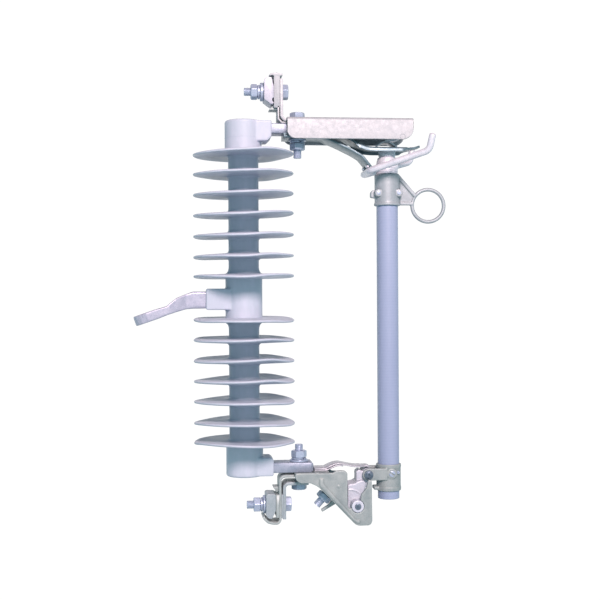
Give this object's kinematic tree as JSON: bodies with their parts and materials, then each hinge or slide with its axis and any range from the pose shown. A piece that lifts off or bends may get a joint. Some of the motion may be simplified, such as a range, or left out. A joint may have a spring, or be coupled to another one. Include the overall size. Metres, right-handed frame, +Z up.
{
  "type": "dropout fuse cutout",
  "caption": "Pole-mounted dropout fuse cutout: ribbed polymer insulator on a bracket, contacts with load-break hooks, and a hinged fuse tube that swings out.",
  "frame": {"origin": "centre of the bolt hole in the bracket, on the bracket's lower flat face", "axes": "+Z up along the insulator, +X towards the fuse holder, +Y towards the back; the front, with the sides of the clamps and the tube in profile, is -Y"},
  "size_m": [0.3768, 0.126, 0.5372],
  "materials": {
    "silicone": "satin silicone rubber",
    "galvanised": "hot-dip galvanised, matt",
    "bolt_steel": "zinc plated",
    "plated_strip": "tin plated strip",
    "casting": "cast, matt",
    "tube": "painted glass-fibre tube"
  },
  "bodies": {
    "insulator_frame": {"housing_core": "silicone", "weather_sheds": "silicone", "mounting_bracket": "galvanised", "top_end_fitting": "galvanised", "bottom_end_fitting": "galvanised", "top_channel": "galvanised", "top_terminal_strip": "galvanised", "top_clamp_cap": "galvanised", "top_clamp_bolt": "bolt_steel", "top_clamp_nut": "bolt_steel", "top_clamp_washers": "bolt_steel", "top_contact_strip": "plated_strip", "top_contact_spring": "plated_strip", "horn_arm": "plated_strip", "horn_hooks": "galvanised", "top_fixing_bolt": "bolt_steel", "top_fixing_nut": "bolt_steel", "top_fixing_washers": "bolt_steel", "hinge_casting": "casting", "hinge_stud": "bolt_steel", "hinge_stud_nut": "bolt_steel", "lower_contact_strips": "plated_strip", "bottom_fixing_bolt": "bolt_steel", "bottom_fixing_nut": "bolt_steel", "bottom_fixing_washers": "bolt_steel", "bottom_terminal_outer": "galvanised", "bottom_terminal_inner": "galvanised", "bottom_clamp_cap": "galvanised", "bottom_clamp_bolt": "bolt_steel", "bottom_clamp_nut": "bolt_steel", "bottom_clamp_washers": "bolt_steel"},
    "trunnion": {"trunnion": "galvanised", "trunnion_pin": "bolt_steel", "toggle_pin": "bolt_steel"},
    "fuse_holder": {"fuse_tube": "tube", "lower_ferrule": "casting", "lower_ferrule_screws": "bolt_steel", "upper_ferrule": "casting", "upper_ferrule_screws": "bolt_steel", "fuse_cap": "galvanised"}
  },
  "joints": [
    {"name": "swing", "type": "hinge", "parent": "insulator_frame", "child": "trunnion", "pos_m": [0.241, 0, -0.2209], "axis": [0, 1, 0], "range_deg": [0, 155]},
    {"name": "toggle", "type": "hinge", "parent": "trunnion", "child": "fuse_holder", "pos_m": [0.256, 0, -0.1858], "axis": [0, 1, 0], "range_deg": [-21, 0]}
  ],
  "couplings": [
    {"joint": "toggle", "follows": "swing", "ratio": -0.13}
  ]
}
